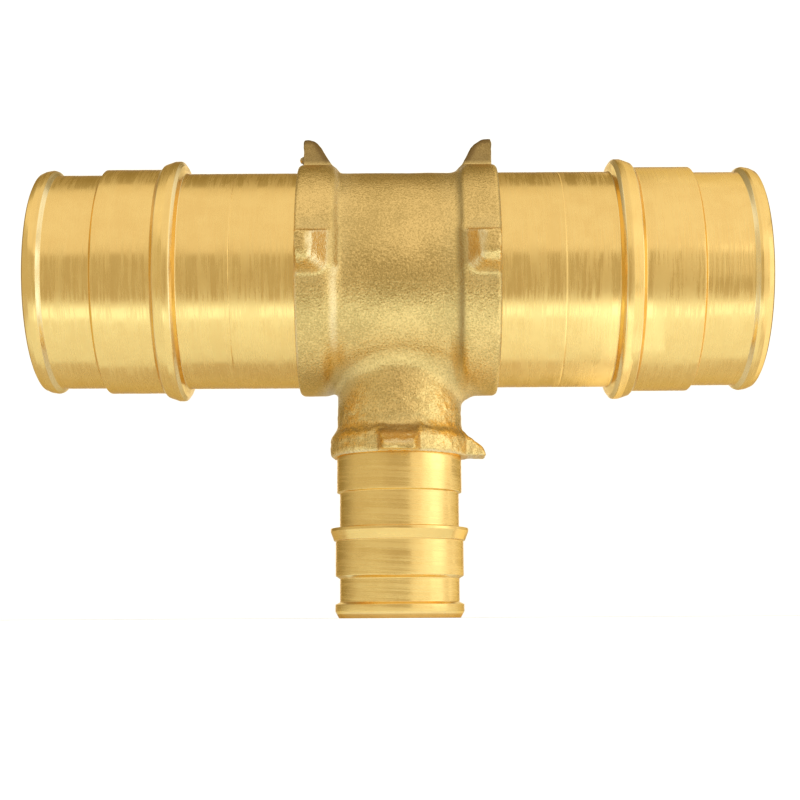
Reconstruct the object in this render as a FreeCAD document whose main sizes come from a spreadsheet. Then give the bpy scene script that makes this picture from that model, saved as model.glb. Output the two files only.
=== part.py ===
import FreeCAD, Part
import math
import os
import Sketcher

# A reducing tee for cold-expansion plastic tube: one brass casting whose three ends are turned
# to barbed spigots. The two large ends lie on one line, the run, along X. The small end, the
# branch, hangs below it along -Z. The origin is where the two centre lines cross. Millimetres.

os.makedirs("parts", exist_ok=True)

SIZES = [
    # the run's bore and the cast barrel round it
    ("run_bore_dia", 20.0, "bore of the run"),
    ("barrel_wall", 1.9, "wall of the barrel round the bore"),
    # run collars, which stop the tube and its ring
    ("run_collar_start", 6.2, "branch centre line to the foot of the collar's flank"),
    ("run_collar_flank", 0.75, "length of the sloped inner flank"),
    ("run_collar_width", 3.77, "length of the collar's crest"),
    ("run_collar_rise", 0.85, "crest above the barrel"),
    ("run_collar_root_round", 0.9, "blend from barrel to flank"),
    ("run_collar_round", 0.4, "cast corner between flank and crest"),
    ("run_collar_bevel", 0.25, "turned bevel between crest and outer face"),
    # run barbs, turned; widths follow one another outwards from the collar's face
    ("run_land_wall", 1.85, "wall of the land between collar and sealing rib"),
    ("run_inner_land_width", 12.48, "collar's face to the rib's foot"),
    ("run_rib_rise", 1.39, "crest of the sealing rib above the land"),
    ("run_rib_shoulder", 0.4, "length of the rib's steep inner shoulder"),
    ("run_rib_crest", 0.42, "length of the rib's crest"),
    ("run_rib_ramp", 1.25, "length of the rib's outer ramp"),
    ("run_outer_land_rise", 0.48, "land beyond the rib above the land before it"),
    ("run_outer_land_width", 6.38, "length of the land beyond the rib"),
    ("run_land_bevel", 0.3, "length of the bevel down into the groove"),
    ("run_groove_depth", 0.59, "floor of the groove below that land"),
    ("run_groove_width", 4.95, "length of the groove's floor"),
    ("run_rim_flank", 0.45, "length of the rim's inner flank"),
    ("run_rim_rise", 0.61, "crest of the end rim above the groove's floor"),
    ("run_rim_crest", 0.98, "length of the rim's crest"),
    ("run_rim_nose", 0.53, "length of the rim's bevelled nose"),
    ("run_nose_drop", 0.76, "edge of the end face below the rim's crest"),
    # the branch's bore, the cast neck round it, and the branch collar
    ("branch_bore_dia", 10.3, "bore of the branch"),
    ("neck_wall", 1.5, "wall of the neck round the bore"),
    ("neck_length", 4.7, "barrel's skin to the branch collar's flank"),
    ("saddle_round", 1.8, "blend between neck and barrel"),
    ("branch_collar_flank", 1.1, "length of the sloped upper flank"),
    ("branch_collar_width", 2.0, "length of the collar's crest"),
    ("branch_collar_rise", 0.85, "crest above the neck"),
    # branch barb, turned; widths follow one another downwards from the collar's face
    ("branch_land_wall", 1.59, "wall of the land below the collar"),
    ("branch_inner_land_width", 3.88, "length of that land"),
    ("branch_upper_groove_depth", 0.31, "floor of the groove above the rib below that land"),
    ("branch_upper_groove_width", 3.79, "length of that groove"),
    ("branch_rib_rise", 0.69, "crest of the sealing rib above the first land"),
    ("branch_rib_crest", 0.35, "length of the rib's crest"),
    ("branch_rib_ramp", 1.01, "length of the rib's lower ramp"),
    ("branch_rib_ramp_drop", 0.36, "foot of that ramp below the rib's crest"),
    ("branch_outer_land_rise", 0.15, "land below the rib above the first land"),
    ("branch_outer_land_width", 3.73, "length of the land below the rib"),
    ("branch_land_bevel", 0.3, "length of the bevel down into the groove"),
    ("branch_lower_groove_depth", 0.47, "floor of the groove above the rim below that land"),
    ("branch_lower_groove_width", 2.48, "length of that groove"),
    ("branch_rim_flank", 0.25, "length of the rim's upper flank"),
    ("branch_rim_rise", 0.5, "crest of the end rim above the groove's floor"),
    ("branch_rim_crest", 0.75, "length of the rim's crest"),
    ("branch_rim_nose", 0.7, "length of the rim's bevelled nose"),
    ("branch_nose_drop", 0.39, "edge of the end face below the rim's crest"),
    # tabs on the collars, which hold the expansion ring off the casting
    ("run_tab_rise", 3.05, "tip above the collar's crest"),
    ("run_tab_width", 4.0, "width across the tab"),
    ("run_tab_setback", 0.05, "tab's outer face back from the collar's bevel"),
    ("run_tab_tip", 1.3, "length of the flat tip"),
    ("run_tab_slope", 2.4, "length of the sloped back, down to its sunk foot"),
    ("run_tab_sink", 0.3, "depth of that foot below the barrel's skin"),
    ("run_tab_back_round", 1.2, "rounding between tip and back"),
    ("run_tab_edge_round", 0.7, "rounding of the long edges"),
    ("branch_tab_rise", 1.8, "tip beyond the branch collar's crest"),
    ("branch_tab_width", 3.8, "width across the tab"),
    ("branch_tab_setback", 0.05, "tab's lower face up from the collar's face"),
    ("branch_tab_tip", 0.75, "length of the flat tip"),
    ("branch_tab_slope", 2.2, "length of the sloped back, up to its sunk foot"),
    ("branch_tab_sink", 0.3, "depth of that foot below the neck's skin"),
    ("branch_tab_back_round", 0.6, "rounding between tip and back"),
    ("branch_tab_edge_round", 0.25, "rounding of the long edges"),
    # mouths
    ("mouth_bevel", 0.4, "bevel inside each of the three mouths"),
]

# Radii of the run, from its centre line
RUN_BORE = "run_bore_dia / 2"
BARREL = RUN_BORE + " + barrel_wall"
RUN_COLLAR = BARREL + " + run_collar_rise"
RUN_INNER_LAND = RUN_BORE + " + run_land_wall"
RUN_RIB = RUN_INNER_LAND + " + run_rib_rise"
RUN_OUTER_LAND = RUN_INNER_LAND + " + run_outer_land_rise"
RUN_GROOVE = RUN_OUTER_LAND + " - run_groove_depth"
RUN_RIM = RUN_GROOVE + " + run_rim_rise"
RUN_NOSE = RUN_RIM + " - run_nose_drop"

# Radii of the branch, from its centre line
BRANCH_BORE = "branch_bore_dia / 2"
NECK = BRANCH_BORE + " + neck_wall"
BRANCH_COLLAR = NECK + " + branch_collar_rise"
BRANCH_INNER_LAND = BRANCH_BORE + " + branch_land_wall"
BRANCH_UPPER_GROOVE = BRANCH_INNER_LAND + " - branch_upper_groove_depth"
BRANCH_RIB = BRANCH_INNER_LAND + " + branch_rib_rise"
BRANCH_RAMP_FOOT = BRANCH_RIB + " - branch_rib_ramp_drop"
BRANCH_OUTER_LAND = BRANCH_INNER_LAND + " + branch_outer_land_rise"
BRANCH_LOWER_GROOVE = BRANCH_OUTER_LAND + " - branch_lower_groove_depth"
BRANCH_RIM = BRANCH_LOWER_GROOVE + " + branch_rim_rise"
BRANCH_NOSE = BRANCH_RIM + " - branch_nose_drop"

# Places along the two centre lines, from the origin
RUN_COLLAR_FACE = "run_collar_start + run_collar_flank + run_collar_width"
RUN_TAB_FACE = RUN_COLLAR_FACE + " - run_collar_bevel - run_tab_setback"
NECK_END = BARREL + " + neck_length"
BRANCH_COLLAR_FACE = NECK_END + " + branch_collar_flank + branch_collar_width"
BRANCH_TAB_FACE = BRANCH_COLLAR_FACE + " - branch_tab_setback"

doc = FreeCAD.newDocument("ReducingTee")
sheet = doc.addObject("Spreadsheet::Sheet", "Sizes")
for row, (alias, number, note) in enumerate(SIZES, start=1):
    sheet.set(f"A{row}", alias)
    sheet.set(f"B{row}", str(number))
    sheet.set(f"C{row}", note)
    sheet.setAlias(f"B{row}", alias)
doc.recompute()

tee = doc.addObject("PartDesign::Body", "ReducingTee")
tee.Label = "reducing_tee"


def value(expression):
    """The number that an expression on the sheet's aliases stands for."""
    return float(sheet.evalExpression(expression))


def bound(expression):
    """The same expression, written for use outside the sheet."""
    aliases = [alias for alias, _, _ in SIZES]
    words = expression.split()
    return " ".join("Sizes." + word if word in aliases else word for word in words)


def origin_feature(role):
    """The body's own plane or axis of that role."""
    for feature in tee.Origin.OriginFeatures:
        if feature.Role == role:
            return feature
    raise ValueError(role)


def new_sketch(name, role, rotation=FreeCAD.Rotation()):
    """A sketch on one of the body's planes, turned in it about the origin."""
    sketch = tee.newObject("Sketcher::SketchObject", name)
    sketch.AttachmentSupport = [(origin_feature(role), "")]
    sketch.MapMode = "FlatFace"
    sketch.AttachmentOffset = FreeCAD.Placement(FreeCAD.Vector(), rotation)
    return sketch


def dimension(sketch, kind, spots, expression):
    """A dimension of the sketch that follows an expression on the sheet."""
    index = sketch.addConstraint(Sketcher.Constraint(kind, *spots, value(expression)))
    sketch.setExpression(f"Constraints[{index}]", bound(expression))


ORIGIN = (-1, 1)
ACROSS_AXIS = -1
UP_AXIS = -2


def draw_outline(sketch, corners):
    """Closed outline through its corners, each (step, height, rounding).

    The step runs across from the corner before, the height is measured from the sketch's
    horizontal axis, and the rounding is the corner's radius. Each is an expression, or None
    where the outline goes straight up, goes straight across, or turns sharply.
    """
    spots = []
    across, up = 0.0, 0.0
    for step, height, _ in corners:
        across += value(step) if step else 0.0
        up = value(height) if height else up
        spots.append(FreeCAD.Vector(across, up, 0))
    count = len(corners)
    starts, ends, arcs = list(spots), spots[1:] + spots[:1], {}
    for i, (_, _, rounding) in enumerate(corners):
        if rounding:
            before = (spots[i] - spots[i - 1]).normalize()
            after = (spots[(i + 1) % count] - spots[i]).normalize()
            turn = before.getAngle(after)
            cut = value(rounding) * math.tan(turn / 2)
            ends[i - 1] = spots[i] - before * cut
            starts[i] = spots[i] + after * cut
            arcs[i] = (ends[i - 1], starts[i], before.cross(after).z > 0)
    lines = [sketch.addGeometry(Part.LineSegment(starts[i], ends[i])) for i in range(count)]
    anchors = []
    for i, (_, _, rounding) in enumerate(corners):
        line_in, line_out = lines[i - 1], lines[i]
        if not rounding:
            sketch.addConstraint(Sketcher.Constraint("Coincident", line_in, 2, line_out, 1))
            anchors.append((line_out, 1))
            continue
        first, last, leftwards = arcs[i]
        radius = value(rounding)
        along = (ends[i - 1] - starts[i - 1]).normalize()
        inward = FreeCAD.Vector(-along.y, along.x, 0) * (1 if leftwards else -1)
        middle = first + inward * radius
        first_angle = math.atan2(first.y - middle.y, first.x - middle.x)
        last_angle = math.atan2(last.y - middle.y, last.x - middle.x)
        low, high = (first_angle, last_angle) if leftwards else (last_angle, first_angle)
        circle = Part.Circle(middle, FreeCAD.Vector(0, 0, 1), radius)
        arc = sketch.addGeometry(Part.ArcOfCircle(circle, low, high))
        enter, leave = (1, 2) if leftwards else (2, 1)
        sketch.addConstraint(Sketcher.Constraint("Tangent", line_in, 2, arc, enter))
        sketch.addConstraint(Sketcher.Constraint("Tangent", line_out, 1, arc, leave))
        dimension(sketch, "Radius", (arc,), rounding)
        corner = sketch.addGeometry(Part.Point(spots[i]), True)
        sketch.addConstraint(Sketcher.Constraint("PointOnObject", corner, 1, line_in))
        sketch.addConstraint(Sketcher.Constraint("PointOnObject", corner, 1, line_out))
        anchors.append((corner, 1))
    for i, (step, height, _) in enumerate(corners):
        before = anchors[i - 1] if i else ORIGIN
        if step == "0":
            sketch.addConstraint(Sketcher.Constraint("PointOnObject", *anchors[i], UP_AXIS))
        elif step:
            dimension(sketch, "DistanceX", before + anchors[i], step)
        else:
            sketch.addConstraint(Sketcher.Constraint("Vertical", lines[i - 1]))
        if height == "0":
            sketch.addConstraint(Sketcher.Constraint("PointOnObject", *anchors[i], ACROSS_AXIS))
        elif height:
            dimension(sketch, "DistanceY", ORIGIN + anchors[i], height)
        else:
            sketch.addConstraint(Sketcher.Constraint("Horizontal", lines[i - 1]))


def draw_circle(sketch, radius):
    """A circle round the sketch's origin."""
    circle = Part.Circle(FreeCAD.Vector(), FreeCAD.Vector(0, 0, 1), value(radius))
    index = sketch.addGeometry(circle)
    sketch.addConstraint(Sketcher.Constraint("Coincident", index, 3, *ORIGIN))
    dimension(sketch, "Radius", (index,), radius)


def add_feature(kind, name, profile=None):
    """A new feature on the body, which becomes its tip."""
    feature = tee.newObject("PartDesign::" + kind, name)
    if profile:
        feature.Profile = profile
        profile.Visibility = False
    tee.Tip = feature
    return feature


def turned(name, sketch):
    """The sketch's outline turned round its horizontal axis."""
    feature = add_feature("Revolution", name, sketch)
    feature.ReferenceAxis = (sketch, ["H_Axis"])
    feature.Angle = 360
    doc.recompute()
    return feature


def dressed(kind, name, wanted, size, expression):
    """A fillet or chamfer on the edges that meet a test, on the body as it is so far."""
    base = tee.Tip
    names = [f"Edge{i}" for i, edge in enumerate(base.Shape.Edges, start=1) if wanted(edge)]
    feature = add_feature(kind, name)
    feature.Base = (base, names)
    feature.setExpression(size, bound(expression))
    doc.recompute()
    return feature


TOUCH = 0.01

# The sketch plane of everything in the tee's own plane. Along the run the sketch's horizontal
# is X; along the branch it is turned to run down -Z.
DOWN = FreeCAD.Rotation(FreeCAD.Vector(0, 0, 1), -90)

# cast barrel, and the neck that hangs from it
barrel_sketch = new_sketch("barrel_outline", "YZ_Plane")
draw_circle(barrel_sketch, BARREL)
barrel = add_feature("Pad", "barrel", barrel_sketch)
barrel.SideType = "Symmetric"
barrel.setExpression("Length", bound("2 * ( run_collar_start + run_collar_flank )"))

neck_sketch = new_sketch("neck_outline", "XY_Plane")
draw_circle(neck_sketch, NECK)
neck = add_feature("Pad", "neck", neck_sketch)
neck.Reversed = True
neck.setExpression("Length", bound(NECK_END))
doc.recompute()


def on_saddle(edge):
    """True of the curve where the neck leaves the barrel."""
    middle = edge.valueAt((edge.FirstParameter + edge.LastParameter) / 2)
    on_neck = abs(math.hypot(middle.x, middle.y) - value(NECK)) < TOUCH
    return on_neck and abs(math.hypot(middle.y, middle.z) - value(BARREL)) < TOUCH


dressed("Fillet", "saddle", on_saddle, "Radius", "saddle_round")

# run end on the +X side: collar, inner land, sealing rib, outer land, groove and rim
run_sketch = new_sketch("run_end_outline", "XZ_Plane")
draw_outline(run_sketch, [
    ("run_collar_start / 2", "0", None),
    (None, BARREL, None),
    ("run_collar_start / 2", None, "run_collar_root_round"),
    ("run_collar_flank", RUN_COLLAR, "run_collar_round"),
    ("run_collar_width - run_collar_bevel", None, None),
    ("run_collar_bevel", RUN_COLLAR + " - run_collar_bevel", None),
    (None, RUN_INNER_LAND, None),
    ("run_inner_land_width", None, None),
    ("run_rib_shoulder", RUN_RIB, None),
    ("run_rib_crest", None, None),
    ("run_rib_ramp", RUN_OUTER_LAND, None),
    ("run_outer_land_width", None, None),
    ("run_land_bevel", RUN_GROOVE, None),
    ("run_groove_width", None, None),
    ("run_rim_flank", RUN_RIM, None),
    ("run_rim_crest", None, None),
    ("run_rim_nose", RUN_NOSE, None),
    (None, "0", None),
])
run_end = turned("run_end", run_sketch)


def run_tab(name, turn):
    """A fin on the run collar, its outline turned about X from the top of the tee."""
    about_run = FreeCAD.Rotation(FreeCAD.Vector(1, 0, 0), turn)
    sketch = new_sketch(name + "_outline", "XZ_Plane", about_run)
    draw_outline(sketch, [
        (RUN_TAB_FACE + " - run_tab_tip - run_tab_slope", "0", None),
        (None, BARREL + " - run_tab_sink", None),
        ("run_tab_slope", RUN_COLLAR + " + run_tab_rise", "run_tab_back_round"),
        ("run_tab_tip", None, None),
        (None, "0", None),
    ])
    tab = add_feature("Pad", name, sketch)
    tab.SideType = "Symmetric"
    tab.setExpression("Length", bound("run_tab_width"))
    return tab


# tabs on the run collar: in front, on top and behind, none below
run_tabs = [run_tab("run_tab_" + place, turn)
            for place, turn in (("front", 90), ("top", 0), ("back", -90))]
doc.recompute()

# the other run end is the same, across the branch centre line
other_run_end = add_feature("Mirrored", "other_run_end")
other_run_end.Originals = [run_end] + run_tabs
other_run_end.MirrorPlane = (origin_feature("YZ_Plane"), [""])
doc.recompute()

# branch end: collar, land, groove, sealing rib, land, groove and rim, from the neck down
branch_sketch = new_sketch("branch_end_outline", "XZ_Plane", DOWN)
draw_outline(branch_sketch, [
    (NECK_END + " - branch_collar_flank", "0", None),
    (None, NECK, None),
    ("branch_collar_flank", None, None),
    ("branch_collar_flank", BRANCH_COLLAR, None),
    ("branch_collar_width", None, None),
    (None, BRANCH_INNER_LAND, None),
    ("branch_inner_land_width", None, None),
    (None, BRANCH_UPPER_GROOVE, None),
    ("branch_upper_groove_width", None, None),
    (None, BRANCH_RIB, None),
    ("branch_rib_crest", None, None),
    ("branch_rib_ramp", BRANCH_RAMP_FOOT, None),
    (None, BRANCH_OUTER_LAND, None),
    ("branch_outer_land_width", None, None),
    ("branch_land_bevel", BRANCH_LOWER_GROOVE, None),
    ("branch_lower_groove_width", None, None),
    ("branch_rim_flank", BRANCH_RIM, None),
    ("branch_rim_crest", None, None),
    ("branch_rim_nose", BRANCH_NOSE, None),
    (None, "0", None),
])
branch_end = turned("branch_end", branch_sketch)


def branch_tab(name, turn):
    """A fin on the branch collar, its outline turned about Z from the +X side."""
    about_branch = FreeCAD.Rotation(FreeCAD.Vector(1, 0, 0), turn)
    sketch = new_sketch(name + "_outline", "XZ_Plane", DOWN.multiply(about_branch))
    draw_outline(sketch, [
        (BRANCH_TAB_FACE + " - branch_tab_tip - branch_tab_slope", "0", None),
        (None, NECK + " - branch_tab_sink", None),
        ("branch_tab_slope", BRANCH_COLLAR + " + branch_tab_rise", "branch_tab_back_round"),
        ("branch_tab_tip", None, None),
        (None, "0", None),
    ])
    tab = add_feature("Pad", name, sketch)
    tab.SideType = "Symmetric"
    tab.setExpression("Length", bound("branch_tab_width"))
    return tab


# tabs on the branch collar: in front, on the right and behind, none on the left
branch_tabs = [branch_tab("branch_tab_" + place, turn)
               for place, turn in (("front", 90), ("right", 0), ("back", -90))]
doc.recompute()


def beside_tab(edge, about, turn, width, face, crest):
    """True of a long edge of a tab, where its flank meets its tip or its sloped back.

    The edge is turned back to where the first tab of the set stands, with its flanks half a
    width to either side of the tee's own plane.
    """
    back = FreeCAD.Rotation(about, -turn)
    ends = [back.multVec(vertex.Point) for vertex in edge.Vertexes]
    heights = [end.z if about.x else end.x for end in ends]
    places = [abs(end.x if about.x else end.z) for end in ends]
    on_flank = all(abs(abs(end.y) - value(width) / 2) < TOUCH for end in ends)
    lengthwise = abs(ends[0].y - ends[-1].y) < TOUCH
    on_face = all(abs(place - value(face)) < TOUCH for place in places)
    proud = min(heights) > 0 and max(heights) > value(crest) + TOUCH
    return on_flank and lengthwise and not on_face and proud


def on_run_tab(edge):
    """True of a long edge of any run tab."""
    about_run = FreeCAD.Vector(1, 0, 0)
    return any(beside_tab(edge, about_run, turn, "run_tab_width", RUN_TAB_FACE, RUN_COLLAR)
               for turn in (90, 0, -90))


def on_branch_tab(edge):
    """True of a long edge of any branch tab."""
    about_branch = FreeCAD.Vector(0, 0, 1)
    return any(beside_tab(edge, about_branch, turn, "branch_tab_width", BRANCH_TAB_FACE,
                          BRANCH_COLLAR)
               for turn in (90, 0, -90))


dressed("Fillet", "run_tab_edges", on_run_tab, "Radius", "run_tab_edge_round")
dressed("Fillet", "branch_tab_edges", on_branch_tab, "Radius", "branch_tab_edge_round")


def bored(name, role, radius, sides):
    """A round bore from the sketch plane, out through the body on one side or on both."""
    solid = tee.Shape.Volume
    sketch = new_sketch(name + "_outline", role)
    draw_circle(sketch, radius)
    feature = add_feature("Pocket", name, sketch)
    feature.Type = "ThroughAll"
    feature.SideType = sides
    doc.recompute()
    if feature.Shape.Volume > solid - 1:
        raise ValueError(name + " cuts nothing")


# the run is bored right through, the branch from the run's centre line down
bored("run_bore", "YZ_Plane", RUN_BORE, "Symmetric")
bored("branch_bore", "XY_Plane", BRANCH_BORE, "One side")


def at_mouth(edge):
    """True of the edge round a bore's open end."""
    if not isinstance(edge.Curve, Part.Circle):
        return False
    middle, radius = edge.Curve.Center, edge.Curve.Radius
    if abs(edge.Curve.Axis.x) > 0.5:
        return abs(radius - value(RUN_BORE)) < TOUCH and abs(middle.x) > value(RUN_COLLAR_FACE)
    return abs(radius - value(BRANCH_BORE)) < TOUCH and -middle.z > value(BRANCH_COLLAR_FACE)


dressed("Chamfer", "mouth_bevels", at_mouth, "Size", "mouth_bevel")

# nothing is written unless every feature and the finished solid are sound
for feature in doc.Objects:
    if "Invalid" in feature.State or "Error" in feature.State:
        raise ValueError(feature.Name + " failed to build")
    if feature.isDerivedFrom("PartDesign::Feature"):
        if feature.Shape.isNull() or not feature.Shape.isValid():
            raise ValueError(feature.Name + " has no sound shape")
if tee.Shape.isNull() or not tee.Shape.isValid() or len(tee.Shape.Solids) != 1:
    raise ValueError(tee.Label + " is not one sound solid")

tee.Shape.exportStep("parts/" + tee.Label + ".step")
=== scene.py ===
import math

import bpy
import numpy as np
from mathutils import Matrix, Vector, noise


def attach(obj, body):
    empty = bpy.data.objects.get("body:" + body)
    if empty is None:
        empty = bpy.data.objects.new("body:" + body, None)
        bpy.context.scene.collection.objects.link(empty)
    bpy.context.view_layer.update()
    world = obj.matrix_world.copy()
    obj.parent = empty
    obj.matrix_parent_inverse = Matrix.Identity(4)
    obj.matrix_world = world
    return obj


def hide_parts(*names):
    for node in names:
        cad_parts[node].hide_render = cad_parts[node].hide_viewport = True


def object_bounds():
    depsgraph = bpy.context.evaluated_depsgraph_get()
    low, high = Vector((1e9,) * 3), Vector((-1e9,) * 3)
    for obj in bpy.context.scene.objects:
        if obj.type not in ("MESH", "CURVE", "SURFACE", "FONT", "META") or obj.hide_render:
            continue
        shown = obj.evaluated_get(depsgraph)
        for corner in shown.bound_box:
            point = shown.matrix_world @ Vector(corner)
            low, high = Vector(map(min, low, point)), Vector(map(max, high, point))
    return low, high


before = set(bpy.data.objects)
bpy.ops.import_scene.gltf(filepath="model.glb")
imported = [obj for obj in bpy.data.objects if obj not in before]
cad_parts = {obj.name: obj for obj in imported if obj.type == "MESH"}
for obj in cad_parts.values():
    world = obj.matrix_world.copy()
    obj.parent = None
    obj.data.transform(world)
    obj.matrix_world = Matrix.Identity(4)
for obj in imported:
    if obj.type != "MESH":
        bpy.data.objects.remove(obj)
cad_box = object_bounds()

# CASTING
# The tee is poured as one brass casting: barrel, neck, a stop collar at each of the three ends,
# and tabs on the collars that hold the expansion ring off. It is shot-blasted, so its corners
# are soft and its skin is grainy. Millimetres, until the tee is finished.

BARREL_RADIUS, RUN_COLLAR_RADIUS = 11.83, 12.75
NECK_RADIUS, BRANCH_COLLAR_RADIUS = 6.72, 7.5
NECK_ASIDE = 0.07                                      # the neck came out a little to the right
# foot and crest of a flank: place along the run or down the branch, and radius there
UPPER_LEFT_FLANK, LOWER_LEFT_FLANK = ((6.1, 11.83), (6.85, 12.75)), ((6.05, 11.83), (7.45, 12.75))
RIGHT_FLANK, BRANCH_FLANK = ((6.15, 11.83), (6.9, 12.75)), ((16.6, 6.72), (17.7, 7.5))
LOWER_FLANK_TOP = -1.2                                 # below the left collar's front tab
TOP_NARROWING, NARROWING_HEIGHTS = 0.3, (8.5, 12.0)    # the run collars are narrower at the top
RUN_COLLAR_FACE, BRANCH_COLLAR_FACE = 10.72, 19.7      # turned flat later
COLLAR_SPARE, CORE_SPARE = 0.1, 0.9                    # metal beyond the faces, for the lathe
# rounding of the collars' corners at the flank and at the face, and coves at the flanks' feet
RUN_COLLAR_CORNER, BRANCH_COLLAR_CORNER, FACE_CORNER = 0.35, 0.25, 0.6
LEFT_COVE, RIGHT_COVE, BRANCH_COVE = 0.3, 0.6, 0.3
# cove between barrel and neck: in front and behind, on the left, on the right, and where it turns
SADDLE_FRONT, SADDLE_LEFT, SADDLE_RIGHT, SADDLE_TURN = 1.2, 0.95, 2.0, (2.5, 6.0)

LEFT_TAB_SLOPE, RIGHT_TAB_SLOPE = ((6.5, 11.6), (9.05, 15.8)), ((6.5, 11.6), (8.65, 15.8))
LEFT_TIP_ROUNDING, RIGHT_TIP_ROUNDING = 0.8, 1.2
RUN_TAB_ROOT, RUN_TAB_TIP, RUN_TAB_FACE = 9.5, 15.88, 10.42
# place across a front or back tab, and height
RUN_TAB_UNDERSIDE, RUN_TAB_TOP = ((-1.95, 12.75), (-1.05, 15.8)), ((-2.6, 12.75), (-1.75, 15.8))
UNDERSIDE_ROUNDING, TOP_ROUNDING, TAB_FACE_ROUNDING = 1.3, 0.25, 0.2
TOP_TAB_HALF_WIDTH, TOP_TAB_TAPER, TOP_TAB_ROUNDING = 1.9, 0.1, 0.5
# cove at a run tab's foot on the barrel, how much smaller on the collar, and where it changes
TAB_COVE, TAB_COVE_LESS, TAB_COVE_CHANGE = 0.75, 0.45, (6.4, 7.8)
FLASH_CENTRE, FLASH_RADIUS, FLASH_COVE = (-10.55, -0.4, 13.7), 0.38, 0.3   # bead left by the mould

BRANCH_TAB_SLOPE = ((16.7, 6.35), (18.9, 9.35))
BRANCH_TAB_ROOT, BRANCH_TAB_TIP, BRANCH_TAB_FACE = 5.6, 9.4, 19.65
BRANCH_TAB_HALF_WIDTH, BRANCH_TAB_TAPER = 2.15, 0.25
BRANCH_TIP_ROUNDING, BRANCH_SIDE_ROUNDING, BRANCH_TAB_COVE = 0.6, 0.4, 0.3


def sloped(place, height, line):
    """Distance outside a slope that rises from its foot to its crest, solid beyond it."""
    (foot_place, foot_height), (crest_place, crest_height) = line
    run, rise = crest_place - foot_place, crest_height - foot_height
    return (run * (height - foot_height) - rise * (place - foot_place)) / math.hypot(run, rise)


def joined(first, second, cove):
    """Distance outside two forms cast together, with a cove of this radius in the corner."""
    return np.maximum(cove, np.minimum(first, second)) - np.hypot(
        np.maximum(cove - first, 0), np.maximum(cove - second, 0))


def cornered(first, second, rounding):
    """Distance outside what two forms share, with the edge between them rounded."""
    return np.minimum(-rounding, np.maximum(first, second)) + np.hypot(
        np.maximum(first + rounding, 0), np.maximum(second + rounding, 0))


def eased_step(number, start, end):
    """Nought before start, one after end, with a smooth rise between them."""
    share = np.clip((number - start) / (end - start), 0, 1)
    return share * share * (3 - 2 * share)


def tab_back(x, height):
    """Distance outside a run tab's sloped back and tip."""
    over_tip = height - RUN_TAB_TIP
    left = cornered(sloped(-x, height, LEFT_TAB_SLOPE), over_tip, LEFT_TIP_ROUNDING)
    right = cornered(sloped(x, height, RIGHT_TAB_SLOPE), over_tip, RIGHT_TIP_ROUNDING)
    return np.where(x < 0, left, right)


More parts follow.
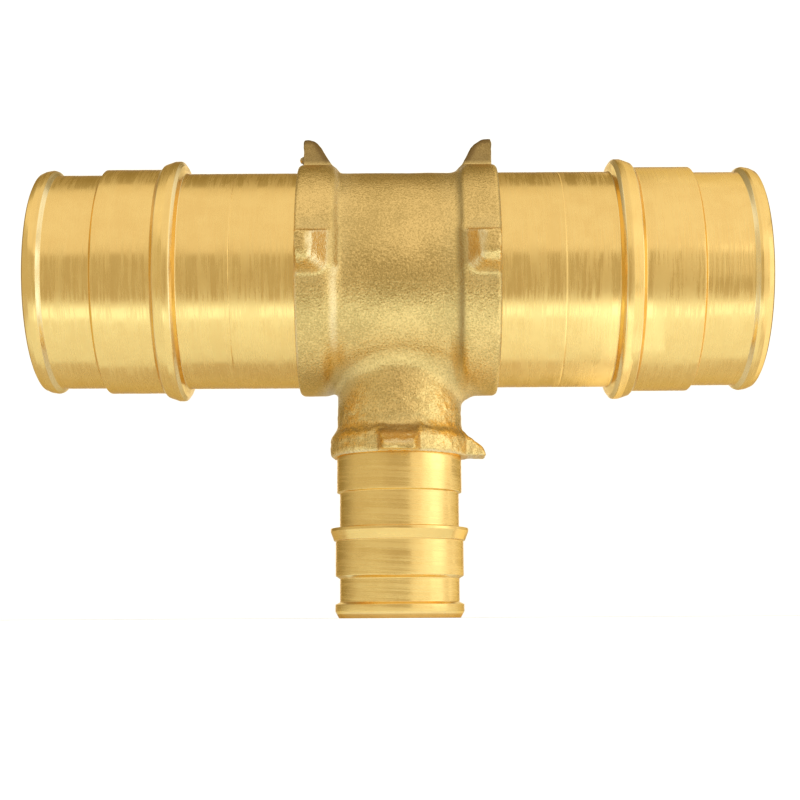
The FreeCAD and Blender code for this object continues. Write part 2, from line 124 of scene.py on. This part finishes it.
def casting(x, y, z):
    """Distance outside the casting."""
    out, down = np.abs(x), -z
    from_run, from_branch = np.hypot(y, z), np.hypot(x - NECK_ASIDE, y)

    narrowed = out - TOP_NARROWING * eased_step(z, *NARROWING_HEIGHTS)
    left_flank = np.where(z > LOWER_FLANK_TOP, sloped(narrowed, from_run, UPPER_LEFT_FLANK),
                          sloped(out, from_run, LOWER_LEFT_FLANK))
    flank = np.where(x < 0, left_flank, sloped(narrowed, from_run, RIGHT_FLANK))
    run_collars = cornered(from_run - RUN_COLLAR_RADIUS, flank, RUN_COLLAR_CORNER)
    run_collars = cornered(run_collars, out - RUN_COLLAR_FACE - COLLAR_SPARE, FACE_CORNER)
    run = joined(from_run - BARREL_RADIUS, run_collars, np.where(x < 0, LEFT_COVE, RIGHT_COVE))

    branch_collar = cornered(from_branch - BRANCH_COLLAR_RADIUS,
                             sloped(down, from_branch, BRANCH_FLANK), BRANCH_COLLAR_CORNER)
    branch_collar = cornered(branch_collar, down - BRANCH_COLLAR_FACE - COLLAR_SPARE, FACE_CORNER)
    branch = joined(from_branch - NECK_RADIUS, branch_collar, BRANCH_COVE)
    branch = np.maximum(branch, z)

    saddle_beside = np.where(x < 0, SADDLE_LEFT, SADDLE_RIGHT)
    saddle = SADDLE_FRONT + (saddle_beside - SADDLE_FRONT) * eased_step(out, *SADDLE_TURN)
    tee = joined(run, branch, saddle)

    # front and back tabs are sloped underneath, top ones are the same on both sides
    foot_cove = TAB_COVE - TAB_COVE_LESS * eased_step(out, *TAB_COVE_CHANGE)
    tab_face = out - RUN_TAB_FACE
    for height in (-y, y):
        underside, top = sloped(z, height, RUN_TAB_UNDERSIDE), sloped(-z, height, RUN_TAB_TOP)
        fin = cornered(tab_back(x, height), underside, UNDERSIDE_ROUNDING)
        fin = cornered(cornered(fin, top, TOP_ROUNDING), tab_face, TAB_FACE_ROUNDING)
        tee = joined(tee, np.maximum(fin, RUN_TAB_ROOT - height), foot_cove)
    sides = np.abs(y) - TOP_TAB_HALF_WIDTH + TOP_TAB_TAPER * (z - RUN_COLLAR_RADIUS)
    fin = cornered(tab_back(x, z), sides, TOP_TAB_ROUNDING)
    fin = cornered(fin, tab_face, TAB_FACE_ROUNDING)
    tee = joined(tee, np.maximum(fin, RUN_TAB_ROOT - z), foot_cove)
    flash_x, flash_y, flash_z = FLASH_CENTRE
    flash = np.sqrt((x - flash_x) ** 2 + (y - flash_y) ** 2 + (z - flash_z) ** 2) - FLASH_RADIUS
    tee = joined(tee, flash, FLASH_COVE)

    # one tab in front, one on the right and one behind
    for height, across in ((-y, x), (x, y), (y, x)):
        sides = (np.abs(across) - BRANCH_TAB_HALF_WIDTH
                 + BRANCH_TAB_TAPER * (height - BRANCH_COLLAR_RADIUS))
        fin = cornered(sloped(down, height, BRANCH_TAB_SLOPE), height - BRANCH_TAB_TIP,
                       BRANCH_TIP_ROUNDING)
        fin = cornered(fin, sides, BRANCH_SIDE_ROUNDING)
        fin = cornered(fin, down - BRANCH_TAB_FACE, TAB_FACE_ROUNDING)
        tee = joined(tee, np.maximum(fin, BRANCH_TAB_ROOT - height), BRANCH_TAB_COVE)
    tee = np.maximum(tee, out - RUN_COLLAR_FACE - CORE_SPARE)
    return np.maximum(tee, down - BRANCH_COLLAR_FACE - CORE_SPARE)


def skinned(distance, low, high, step):
    """Points and four-sided faces of the surface where a distance is nought.

    Each grid cell that the surface crosses gets one point, the middle of the crossings on the
    cell's edges, and each crossed edge gets one face between the four cells round it.
    """
    marks = [np.arange(first, last + step, step) for first, last in zip(low, high)]
    value = distance(*np.meshgrid(*marks, indexing="ij"))
    cells = [size - 1 for size in value.shape]
    total, count = np.zeros((*cells, 3)), np.zeros(cells)
    crossings = []
    for axis in range(3):
        near = np.take(value, range(cells[axis]), axis)
        far = np.take(value, range(1, cells[axis] + 1), axis)
        crossed = (near < 0) != (far < 0)
        crossings.append((crossed, near < 0))
        point = np.stack(np.indices(near.shape), -1).astype(float)
        point[..., axis] += np.where(crossed, near / np.where(crossed, near - far, 1), 0)
        others = [other for other in range(3) if other != axis]
        for corner in ((0, 0), (0, 1), (1, 0), (1, 1)):
            part = [slice(None)] * 3
            for other, shift in zip(others, corner):
                part[other] = slice(shift, shift + cells[other])
            total += np.where(crossed[tuple(part)][..., None], point[tuple(part)], 0)
            count += crossed[tuple(part)]
    used = count > 0
    number = np.full(cells, -1)
    number[used] = np.arange(used.sum())
    points = np.array(low) + step * total[used] / count[used][:, None]

    faces = []
    for axis, (crossed, solid_first) in enumerate(crossings):
        second, third = (axis + 1) % 3, (axis + 2) % 3
        edges = np.argwhere(crossed)
        inner = ((edges[:, second] > 0) & (edges[:, second] < cells[second])
                 & (edges[:, third] > 0) & (edges[:, third] < cells[third]))
        edges = edges[inner]
        ring = []
        for back_second, back_third in ((1, 1), (0, 1), (0, 0), (1, 0)):
            cell = edges.copy()
            cell[:, second] -= back_second
            cell[:, third] -= back_third
            ring.append(number[tuple(cell.T)])
        ring = np.stack(ring, -1)
        outward = solid_first[tuple(edges.T)]
        faces.append(np.where(outward[:, None], ring, ring[:, ::-1]))
    return points, np.concatenate(faces)


def on_skin(distance, points, proud=0.0, rounds=3):
    """Points moved square on to the surface, and out from it by how proud each stands."""
    small, flattest = 0.02, 0.25
    for _ in range(rounds):
        slope = np.stack([
            (distance(*(points + shift).T) - distance(*(points - shift).T)) / (2 * small)
            for shift in np.eye(3) * small], -1)
        over = distance(*points.T) - proud
        points = points - slope * (over / np.maximum((slope ** 2).sum(-1), flattest))[:, None]
    return points


def evened(points, faces, share=0.5):
    """Points moved part of the way to the middle of their neighbours."""
    total, count = np.zeros_like(points), np.zeros(len(points))
    for first, second in ((0, 1), (1, 2), (2, 3), (3, 0)):
        for here, there in ((first, second), (second, first)):
            np.add.at(total, faces[:, here], points[faces[:, there]])
            np.add.at(count, faces[:, here], 1)
    return points + share * (total / count[:, None] - points)


def solid(name, points, faces):
    """A mesh object of these points and faces."""
    mesh = bpy.data.meshes.new(name)
    mesh.from_pydata(np.asarray(points).tolist(), [],
                     [tuple(int(corner) for corner in face) for face in faces])
    piece = bpy.data.objects.new(name, mesh)
    bpy.context.scene.collection.objects.link(piece)
    return piece


MOULD_LOW, MOULD_HIGH, POINT_SPACING = (-12.1, -16.3, -21.1), (12.1, 16.3, 16.3), 0.23
skin_points, skin_faces = skinned(casting, MOULD_LOW, MOULD_HIGH, POINT_SPACING)
for _ in range(3):
    skin_points = on_skin(casting, evened(skin_points, skin_faces), rounds=1)

# the sand leaves slow waves and small pits, more on the tips of the tabs where the flash was cut
SAND_MARKS = ((0.030, 0.35), (0.012, 1.1), (0.010, 3.3))    # how deep, and how many a millimetre
TRIM_DEPTH, TRIM_MARKS, TRIM_SHIFT, TRIM_RISE = 0.09, 1.7, Vector((9, 4, 2)), (13.6, 15.2)
TAB_REACH = 15.79                                      # a hundredth inside the CAD's tabs
lumps = np.array([
    sum(depth * noise.noise(Vector(point) * pitch) for depth, pitch in SAND_MARKS)
    for point in skin_points])
ragged = np.array([noise.noise(Vector(point) * TRIM_MARKS + TRIM_SHIFT) for point in skin_points])
trimmed = eased_step(np.hypot(skin_points[:, 1], skin_points[:, 2]), *TRIM_RISE)
skin_points = on_skin(casting, skin_points, lumps + TRIM_DEPTH * trimmed * ragged)
skin_points[:, 1] = np.clip(skin_points[:, 1], -TAB_REACH, TAB_REACH)
skin_points[:, 2] = np.minimum(skin_points[:, 2], TAB_REACH)

tee = solid("tee", skin_points, skin_faces)

# RUN ENDS
# Each end of the run is turned on a lathe from the casting: the collar is faced off square, then
# come a land, the sealing rib with its ramp, a wider land, a groove and the end rim.

RUN_END = (
    # place along the run, radius, easing of the corner
    (9.5, 0.0, 0), (9.5, 11.85, 0),
    # where a second tool took over
    (17.3, 11.85, 0), (17.46, 11.85, 0), (17.5, 11.82, 0), (17.54, 11.85, 0), (17.7, 11.85, 0),
    (23.0, 11.85, 0.15), (23.2, 12.75, 0.2), (23.5, 13.2, 0.3), (24.15, 13.2, 0.25),
    (25.2, 12.84, 0.3), (25.62, 12.33, 0.12),
    (31.65, 12.33, 0.12), (31.93, 11.74, 0.12), (36.9, 11.74, 0.14),
    (37.28, 12.2, 0.15), (37.55, 12.29, 0.2), (38.15, 12.2, 0.3), (38.68, 11.97, 0.2),
    (38.85, 11.66, 0.1), (38.85, 0.0, 0))


def eased(corners, steps=4, beside=0.12, most=0.45, long=1.0):
    """Outline through its corners, with each one's sharp point taken off.

    An easing takes at most a share of a straight. A point just beside each corner keeps the
    shading of the long straights flat.
    """
    outline = []
    for index, (place, radius, easing) in enumerate(corners):
        here = np.array((place, radius))
        if not easing:
            outline.append(here)
            continue
        before = np.array(corners[index - 1][:2]) - here
        after = np.array(corners[index + 1][:2]) - here
        length_before, length_after = np.linalg.norm(before), np.linalg.norm(after)
        before, after = before / length_before, after / length_after
        half_angle = math.acos(np.clip(before @ after, -1, 1)) / 2
        cut = min(easing / math.tan(half_angle), most * length_before, most * length_after)
        if length_before > long:
            outline.append(here + before * (cut + beside))
        for share in np.linspace(0, 1, steps + 1):
            outline.append(here + before * cut * (1 - share) ** 2 + after * cut * share ** 2)
        if length_after > long:
            outline.append(here + after * (cut + beside))
    return outline


def lathe_turned(name, outline, segments, placing):
    """Solid of an outline turned about X, then placed by a rotation."""
    angles = np.linspace(0, 2 * math.pi, segments, endpoint=False)
    rings = np.array([
        [(place, radius * math.cos(angle), radius * math.sin(angle)) for angle in angles]
        for place, radius in outline[1:-1]])
    points = np.concatenate([
        [(outline[0][0], 0, 0)], rings.reshape(-1, 3), [(outline[-1][0], 0, 0)]])
    last = len(points) - 1
    faces = []
    for step in range(segments):
        following = (step + 1) % segments
        faces.append((0, 1 + following, 1 + step))
        for ring in range(len(rings) - 1):
            here, there = 1 + ring * segments, 1 + (ring + 1) * segments
            faces.append((here + step, here + following, there + following, there + step))
        end = 1 + (len(rings) - 1) * segments
        faces.append((last, end + step, end + following))
    return solid(name, points @ np.array(placing.to_3x3()).T, faces)


def box(name, low, high):
    """A plain block between two corners."""
    points = [[(low, high)[(corner >> axis) & 1][axis] for axis in range(3)] for corner in range(8)]
    return solid(name, points, ((0, 2, 3, 1), (4, 5, 7, 6), (0, 1, 5, 4),
                                (2, 6, 7, 3), (0, 4, 6, 2), (1, 3, 7, 5)))


def machined(piece, operation, tool):
    """The piece with a tool's shape added or cut away. The tool is used up."""
    step = piece.modifiers.new("machining", "BOOLEAN")
    step.operation, step.solver, step.object = operation, "MANIFOLD", tool
    bpy.context.view_layer.update()
    done = piece.evaluated_get(bpy.context.evaluated_depsgraph_get())
    mesh = bpy.data.meshes.new_from_object(done)
    piece.modifiers.clear()
    spent = piece.data, tool.data
    piece.data = mesh
    for old in spent:
        bpy.data.meshes.remove(old)


RIGHT, LEFT = Matrix.Identity(4), Matrix.Rotation(math.pi, 4, "Z")
DOWN = Matrix.Rotation(math.pi / 2, 4, "Y")

RUN_FACING = ((RUN_COLLAR_FACE, 0), (RUN_COLLAR_FACE, 12.95), (14, 12.95), (14, 0))
for side, placing in (("right", RIGHT), ("left", LEFT)):
    facing_tool = lathe_turned(side + "_facing", RUN_FACING, segments=96, placing=placing)
    turned_end = lathe_turned(side + "_end", eased(RUN_END), segments=160, placing=placing)
    machined(tee, "DIFFERENCE", facing_tool)
    machined(tee, "UNION", turned_end)

# BRANCH END
# The small end is turned the same way: collar faced off, a land, a shallow groove, the sealing
# rib with its ramp, a second land, a groove and the end rim.

BRANCH_END = (
    # place below the run's centre line, radius, easing of the corner
    (18.6, 0.0, 0), (18.6, 6.74, 0),
    (23.5, 6.74, 0.06), (23.62, 6.43, 0.06), (27.3, 6.43, 0.08),
    (27.4, 7.43, 0.07), (27.72, 7.43, 0.07), (28.7, 7.07, 0.1), (28.76, 6.89, 0.05),
    (32.46, 6.89, 0.07), (32.76, 6.42, 0.08), (35.24, 6.42, 0.08),
    (35.49, 6.92, 0.08), (36.24, 6.92, 0.12), (36.94, 6.53, 0.08), (36.94, 0.0, 0))

BRANCH_FACING = ((-20, -20, -24), (20, 20, -BRANCH_COLLAR_FACE))
machined(tee, "DIFFERENCE", box("branch_facing", *BRANCH_FACING))
machined(tee, "UNION", lathe_turned("branch_end", eased(BRANCH_END), segments=144, placing=DOWN))

# BORES
# The run is bored right through, and the branch from below into it. Each mouth is bevelled.

RUN_BORE = ((-39.66, 0), (-39.66, 11.2), (-38.46, 10.0), (38.46, 10.0), (39.66, 11.2), (39.66, 0))
BRANCH_BORE = ((2.0, 0), (2.0, 5.15), (36.54, 5.15), (37.74, 6.35), (37.74, 0))

machined(tee, "DIFFERENCE", lathe_turned("run_bore", RUN_BORE, segments=160, placing=RIGHT))
machined(tee, "DIFFERENCE", lathe_turned("branch_bore", BRANCH_BORE, segments=128, placing=DOWN))

# CAST SKIN
# What the shot-blasting leaves: olive brass, grainy, with small bright facets. Painted shade
# makes the corners and creases duller and darker. Painted highlight makes the tabs' slopes and
# the left collar's lower flank pale, and painted shade darkens the other flanks.


class Wire:
    """One socket of a material's nodes, so that shader maths reads as an expression."""

    def __init__(self, socket):
        self.socket = socket

    def node(self, kind, settings, sockets, output=0):
        """A new node's output: its settings are set first, then its sockets' values or links."""
        node = self.socket.id_data.nodes.new(kind)
        for name, setting in settings.items():
            if name == "stops":
                ramp = node.color_ramp.elements
                for index, (place, colour) in enumerate(setting):
                    stop = ramp[index] if index < len(ramp) else ramp.new(place)
                    stop.position, stop.color = place, (*colour, 1)
            else:
                setattr(node, name, setting)
        for name, value in sockets.items():
            if isinstance(value, Wire):
                self.socket.id_data.links.new(value.socket, node.inputs[name])
            else:
                node.inputs[name].default_value = value
        return Wire(node.outputs[output])

    def into(self, socket):
        """Links this output to a socket of a node that is there already."""
        self.socket.id_data.links.new(self.socket, socket)

    def maths(self, operation, first, second):
        return self.node("ShaderNodeMath", {"operation": operation}, {0: first, 1: second})

    def __add__(self, other):
        return self.maths("ADD", self, other)

    def __radd__(self, other):
        return self.maths("ADD", other, self)

    def __sub__(self, other):
        return self.maths("SUBTRACT", self, other)

    def __rsub__(self, other):
        return self.maths("SUBTRACT", other, self)

    def __mul__(self, other):
        return self.maths("MULTIPLY", self, other)

    def __rmul__(self, other):
        return self.maths("MULTIPLY", other, self)

    def __lt__(self, other):
        return self.maths("LESS_THAN", self, other)

    def __gt__(self, other):
        return self.maths("GREATER_THAN", self, other)

    def __abs__(self):
        return self.maths("ABSOLUTE", self, 0)

    def part(self, axis):
        """One of a vector's three numbers."""
        return self.node("ShaderNodeSeparateXYZ", {}, {"Vector": self}, output=axis)

    def clouds(self, scale, detail, roughness):
        """Cloudy noise at this place."""
        return self.node("ShaderNodeTexNoise", {}, {
            "Vector": self, "Scale": scale, "Detail": detail, "Roughness": roughness})

    def ramped(self, low, high):
        """Nought below one number, one above another, and smooth between them."""
        return self.node("ShaderNodeMapRange", {"interpolation_type": "SMOOTHSTEP"},
                         {"Value": self, "From Min": low, "From Max": high})

    def mixed(self, first, second):
        """A colour between two, by this mask."""
        sockets = {0: self, 6: first, 7: second}
        return self.node("ShaderNodeMix", {"data_type": "RGBA"}, sockets, output=2)


def metal(name):
    """A bare metal's material, its surface shader, and the place on the piece as a Wire."""
    material = bpy.data.materials.new(name)
    material.use_nodes = True
    shader = material.node_tree.nodes["Principled BSDF"]
    shader.inputs["Metallic"].default_value = 1.0
    shader.inputs["Specular Tint"].default_value = (0.88, 0.70, 0.40, 1)
    place = material.node_tree.nodes.new("ShaderNodeTexCoord").outputs["Object"]
    return material, shader, Wire(place)


def facing_end(place, on_branch):
    """How squarely the surface faces along its own centre line, whichever way."""
    facing = place.node("ShaderNodeTexCoord", {}, {}, output=1)
    return abs(on_branch * facing.part(2) + (1 - on_branch) * facing.part(0))


DULL_GRAIN, BRIGHT_GRAIN = (0.58, 0.395, 0.13, 1), (0.92, 0.63, 0.23, 1)
# painted highlight and painted shade for the flanks, then painted shade for hollows and creases
FLANK_HIGHLIGHT_BRASS, FLANK_SHADE_BRASS = (0.92, 0.72, 0.38, 1), (0.43, 0.30, 0.11, 1)
HOLLOW_SHADE_BRASS, CREASE_SHADE_BROWN = (0.72, 0.54, 0.22, 1), (0.30, 0.22, 0.09, 1)
TOP_TAB_BROWN = (0.17, 0.098, 0.032, 1)
# in metres: heights where the tints start and end, and a run tab's foot from the centre line
BRANCH_COLLAR_TOP, BRANCH_FLANK_FOOT = -0.0163, (-0.0181, -0.0174)
NECK_TOP, FRONT_TAB_FOOT, RUN_TAB_FOOT = (-0.0115, -0.0095), (-0.0018, -0.0006), (0.0126, 0.0133)

cast_skin, shader, place = metal("shot_blasted_brass")
grain = place.clouds(4200.0, 2.0, 0.6)
specks = place.clouds(6300.0, 1.0, 0.5)
patches = place.clouds(160.0, 3.0, 0.55)
tone = (0.3 * grain + 0.4 * specks + 0.3 * patches).ramped(0.38, 0.62)
clean = tone.mixed(DULL_GRAIN, BRIGHT_GRAIN)

along_run, height = place.part(0), place.part(2)
across_run = place.node("ShaderNodeVectorMath", {"operation": "MULTIPLY"}, {
    0: place, 1: (0.0, 1.0, 1.0)})
from_run = across_run.node("ShaderNodeVectorMath", {"operation": "LENGTH"}, {
    0: across_run}, output=1)
on_branch = height < BRANCH_COLLAR_TOP
# painted highlight and painted shade by which way a face looks: the tab slopes and the left
# collar's lower flank are painted pale, and the other run flanks (the right ones most) and the
# branch collar's flank are painted dark
slope = facing_end(place, on_branch).ramped(0.3, 0.75)
on_tab = from_run.ramped(*RUN_TAB_FOOT)
above_neck = height.ramped(*NECK_TOP)
left_side = along_run < 0.0
lower_left = left_side * (1 - height.ramped(*FRONT_TAB_FOOT))
branch_flank = height.ramped(*BRANCH_FLANK_FOOT) * on_branch
highlight_place = (above_neck + on_branch) * (1 - branch_flank)
painted_highlight = slope * highlight_place * (on_tab + (1 - on_tab) * lower_left)
shade_place = above_neck * (1 - on_tab) * (1 - lower_left) * (1 - 0.6 * left_side)
painted_flank_shade = slope * (branch_flank + shade_place)
flank_highlight_and_shade = painted_flank_shade.mixed(painted_highlight.mixed(clean, FLANK_HIGHLIGHT_BRASS), FLANK_SHADE_BRASS)

# painted shade: the hollows and creases that the occlusion finds are painted duller and darker, and
# the hollows are made less metallic
openness = place.node("ShaderNodeAmbientOcclusion", {"samples": 4, "only_local": True}, {
    "Distance": 0.0028}, output=1)
hollow, crease = (1 - openness).ramped(0.03, 0.2), (1 - openness).ramped(0.25, 0.7)
painted_hollow_shade = (0.6 * hollow).mixed(flank_highlight_and_shade, HOLLOW_SHADE_BRASS)
painted_crease_shade = (0.6 * crease).mixed(painted_hollow_shade, CREASE_SHADE_BROWN)
trimmed_edge = place.node("ShaderNodeAttribute", {"attribute_name": "trimmed_edge"}, {}, output=2)
trimmed_edge.mixed(painted_crease_shade, TOP_TAB_BROWN).into(shader.inputs["Base Color"])
(1 - 0.9 * hollow).into(shader.inputs["Metallic"])
(0.21 + 0.16 * specks).into(shader.inputs["Roughness"])
grain.node("ShaderNodeBump", {}, {
    "Height": grain, "Strength": 1.0, "Distance": 0.00007}).into(shader.inputs["Normal"])

# TURNED BRASS
# Bright brass off the tool, with its fine rings round each end. Some rings are duller than
# others, so the light along the ends breaks up into streaks. The shoulders are a little paler: a
# painted highlight.

# warm and bright brass by random tone, and paler brass for the painted highlight on the shoulders
WARM_BRASS, BRIGHT_BRASS, SHOULDER_HIGHLIGHT_BRASS = (
    (0.91, 0.605, 0.20, 1), (0.965, 0.665, 0.23, 1), (0.96, 0.77, 0.40, 1))
RING_DRIFT = 0.06           # how much a ring changes on its way round
# in metres: the branch's own height, the stretch of a run end that has shoulders, and how much
# further from the run's centre that stretch starts, and how much sooner it ends, on the branch
BRANCH_END_TOP, SHOULDERS_START, SHOULDERS_END = -0.0190, 0.0112, 0.0384
BRANCH_LATER, BRANCH_SOONER = 0.0089, 0.0018

turned_brass, shader, place = metal("turned_brass")
along_run, height = place.part(0), place.part(2)
on_branch = height < BRANCH_END_TOP
along = on_branch * height + (1 - on_branch) * along_run
stretched = place.node("ShaderNodeVectorMath", {"operation": "MULTIPLY"}, {
    0: place, 1: (RING_DRIFT, RING_DRIFT, RING_DRIFT)})
ring_place = place.node("ShaderNodeVectorMath", {"operation": "ADD"}, {
    0: stretched, 1: place.node("ShaderNodeCombineXYZ", {}, {"X": along, "Y": 0.0, "Z": 0.0})})
rings = ring_place.clouds(3200.0, 3.0, 0.65)
wide_rings = ring_place.clouds(700.0, 2.0, 0.5)
stain = place.clouds(420.0, 5.0, 0.65)
past_collar = abs(along) - BRANCH_LATER * on_branch > SHOULDERS_START
before_end = abs(along) + BRANCH_SOONER * on_branch < SHOULDERS_END
# painted highlight: the steep shoulders of the ends, past the collar and before the end, are
# painted paler
shoulder = facing_end(place, on_branch).ramped(0.35, 0.75) * past_collar * before_end
tone = (0.3 * rings + 0.2 * wide_rings + 0.5 * stain).ramped(0.38, 0.62)
clean = tone.mixed(WARM_BRASS, BRIGHT_BRASS)
shoulder.mixed(clean, SHOULDER_HIGHLIGHT_BRASS).into(shader.inputs["Base Color"])
dull = (0.65 * rings + 0.35 * wide_rings).ramped(0.42, 0.58)
(0.15 + 0.16 * dull + 0.06 * stain).into(shader.inputs["Roughness"])
relief = rings + 0.5 * wide_rings
relief.node("ShaderNodeBump", {}, {
    "Height": relief, "Strength": 0.35, "Distance": 0.00003}).into(shader.inputs["Normal"])

# FINISHED TEE
# One piece of brass, so one object: turned metal on the ends and in the bores, cast skin elsewhere.
# The top tabs are brown, most on their edges.

IN_RUN_BORE, IN_BRANCH_BORE, FACE_SLACK = 10.2, 5.4, 0.01      # a little beyond the walls
TAB_BROWN, EDGE_BROWN, EDGE_DEPTH, BROWN_START = 0.62, 0.33, (0.3, 0.9), (12.7, 13.3)

tee.data.materials.clear()
tee.data.materials.append(cast_skin)
tee.data.materials.append(turned_brass)
centres = np.empty(3 * len(tee.data.polygons))
tee.data.polygons.foreach_get("center", centres)
x, y, z = centres.reshape(-1, 3).T
in_run_bore = np.hypot(y, z) < IN_RUN_BORE
in_branch_bore = (np.hypot(x, y) < IN_BRANCH_BORE) & (z < 0)
is_turned = ((np.abs(x) > RUN_COLLAR_FACE - FACE_SLACK)
             | (z < -BRANCH_COLLAR_FACE + FACE_SLACK) | in_run_bore | in_branch_bore)
tee.data.polygons.foreach_set("material_index", is_turned.astype(np.int32))
tee.data.polygons.foreach_set("use_smooth", np.ones(len(tee.data.polygons), dtype=bool))
tee.data.set_sharp_from_angle(angle=math.radians(38))

points = np.empty(3 * len(tee.data.vertices))
tee.data.vertices.foreach_get("co", points)
x, y, z = points.reshape(-1, 3).T
browned = TAB_BROWN + EDGE_BROWN * (1 - eased_step(-tab_back(x, z), *EDGE_DEPTH))
browned = browned * eased_step(z, *BROWN_START)
tee.data.attributes.new("trimmed_edge", "FLOAT", "POINT").data.foreach_set("value", browned)
tee.data.transform(Matrix.Scale(0.001, 4))
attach(tee, "root")
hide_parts("reducing_tee")

# TABLE AND BACKDROP
# A white table, with the tee near its front edge and the camera just in front of it, and a white
# backdrop a metre behind. They are lit like anything else, and what the camera, gloss and glass
# see of them is lifted to white.


def white_board(name, glow):
    """Matt white board, with a glow that only the camera, gloss and glass see."""
    material = bpy.data.materials.new(name)
    material.use_nodes = True
    shader = material.node_tree.nodes["Principled BSDF"]
    shader.inputs["Base Color"].default_value = (0.8, 0.8, 0.8, 1)
    shader.inputs["Roughness"].default_value = 0.9
    shader.inputs["Specular IOR Level"].default_value = 0.0
    rays = material.node_tree.nodes.new("ShaderNodeLightPath")
    seen = (Wire(rays.outputs["Is Camera Ray"]) + Wire(rays.outputs["Is Glossy Ray"])
            + Wire(rays.outputs["Is Transmission Ray"]))
    lit = Wire(shader.outputs["BSDF"])
    light = lit.node("ShaderNodeEmission", {}, {
        "Color": (0.97, 0.99, 1, 1), "Strength": seen * glow})
    both = lit.node("ShaderNodeAddShader", {}, {0: lit, 1: light})
    both.into(material.node_tree.nodes["Material Output"].inputs["Surface"])
    return material


TABLE_TOP, TABLE_FRONT = cad_box[0].z - 0.00001, -0.065
TABLE_SIDE, BACKDROP_SIDE, BACKDROP_PLACE, REACH = 1.6, 0.45, 1.0, 0.5
table = solid("table", [
    (-TABLE_SIDE, TABLE_FRONT, TABLE_TOP), (TABLE_SIDE, TABLE_FRONT, TABLE_TOP),
    (TABLE_SIDE, BACKDROP_PLACE, TABLE_TOP), (-TABLE_SIDE, BACKDROP_PLACE, TABLE_TOP),
    (-TABLE_SIDE, TABLE_FRONT, -REACH), (TABLE_SIDE, TABLE_FRONT, -REACH)],
    [(0, 1, 2, 3), (4, 5, 1, 0)])
table.data.materials.append(white_board("white_table_top", 0.12))
table.data.materials.append(white_board("white_table_front", 0.75))
table.data.polygons[1].material_index = 1
backdrop = solid("backdrop", [
    (-BACKDROP_SIDE, BACKDROP_PLACE, -REACH), (BACKDROP_SIDE, BACKDROP_PLACE, -REACH),
    (BACKDROP_SIDE, BACKDROP_PLACE, REACH), (-BACKDROP_SIDE, BACKDROP_PLACE, REACH)],
    [(0, 1, 2, 3)])
backdrop.data.materials.append(white_board("white_backdrop", 0.7))

# LIGHTS
# A wide soft box overhead, a second to the right with a brighter middle, one behind, small ones
# that stand for white card on the table, by the neck and by the collar, and an even warm room
# that is a little darker behind.


def soft_box(name, place, towards, width, height, radiance, colour):
    """A flat rectangular lamp that the camera doesn't see, with the brightness of its surface."""
    lamp = bpy.data.lights.new(name, "AREA")
    lamp.shape, lamp.size, lamp.size_y = "RECTANGLE", width, height
    lamp.energy, lamp.color = radiance * math.pi * width * height, colour
    light = bpy.data.objects.new(name, lamp)
    light.location = place
    light.rotation_mode = "QUATERNION"
    light.rotation_quaternion = (Vector(towards) - Vector(place)).to_track_quat("-Z", "Y")
    light.visible_camera = False
    bpy.context.scene.collection.objects.link(light)


DAYLIGHT, COOL = (0.84, 0.88, 1.0), (0.5, 0.76, 1.0)
LAMPS = (
    # name, place, what it faces, width, height, brightness, colour
    ("overhead", (0, -0.1775, 0.12), (0, -0.1575, -0.291), 0.40, 0.4055, 0.41, DAYLIGHT),
    ("overhead_right", (0.15, -0.1775, 0.119), (0.15, -0.1575, -0.292), 0.2, 0.4055, 0.08,
     DAYLIGHT),
    ("right_side", (0.155, -0.069, 0.027), (0, 0, 0.027), 0.352, 0.126, 0.45, DAYLIGHT),
    ("right_middle", (0.19, -0.05, 0.02), (0, 0, 0.02), 0.11, 0.11, 0.55, COOL),
    ("table_edge", (-0.02, -0.028, -0.0365), (-0.02, -0.028, 0), 0.14, 0.06, 0.45, COOL),
    ("table_right", (0.095, -0.02, -0.0362), (0.095, -0.02, 0), 0.08, 0.12, 0.5, DAYLIGHT),
    ("low_right", (0.024, 0.0155, -0.028), (0, 0.0155, -0.026), 0.025, 0.016, 0.55, DAYLIGHT),
    ("neck_right", (0.024, 0.0015, -0.015), (0, 0.0015, -0.012), 0.053, 0.009, 0.35, DAYLIGHT),
    ("collar_right", (0.028, -0.021, -0.021), (0, -0.021, -0.021), 0.026, 0.022, 0.35, COOL),
    ("back_right", (0.144, 0.09, 0.12), (0.144, 0.09, 0), 0.2, 0.14, 0.6, DAYLIGHT),
    ("front_strip", (0, -0.0425, -0.0364), (0, -0.0425, 0), 0.12, 0.015, 0.7, COOL))
for lamp in LAMPS:
    soft_box(*lamp)

FRONT_ROOM, SIDE_ROOM, BACK_ROOM = (
    (0.575, 0.525, 0.415, 1), (0.66, 0.62, 0.50, 1), (0.36, 0.33, 0.26, 1))
world = bpy.data.worlds.new("room")
world.use_nodes = True
direction = Wire(world.node_tree.nodes.new("ShaderNodeTexCoord").outputs["Generated"])
to_side, to_back = direction.part(0), direction.part(1)
front = abs(to_side).ramped(0.2, 0.6).mixed(FRONT_ROOM, SIDE_ROOM)
room = to_back.ramped(-0.1, 0.7).mixed(front, BACK_ROOM)
room.into(world.node_tree.nodes["Background"].inputs["Color"])
bpy.context.scene.world = world

# CAMERA
# It stands just in front of the table at the height of its top, looks up at the run, and leans
# by a third of a degree.

camera = bpy.data.objects.new("camera", bpy.data.cameras.new("camera"))
camera.data.sensor_width, camera.data.lens = 36.0, 67.45
camera.data.clip_start, camera.data.clip_end = 0.001, 10.0
camera.rotation_mode = "QUATERNION"
camera.location = (0.00013, -0.1624, -0.03692)
camera.rotation_quaternion = (Matrix.Rotation(math.radians(98.27), 3, "X")
                              @ Matrix.Rotation(math.radians(-0.32), 3, "Z")).to_quaternion()
bpy.context.scene.collection.objects.link(camera)
bpy.context.scene.camera = camera
bpy.context.scene.view_settings.view_transform = "Standard"

bpy.context.view_layer.update()
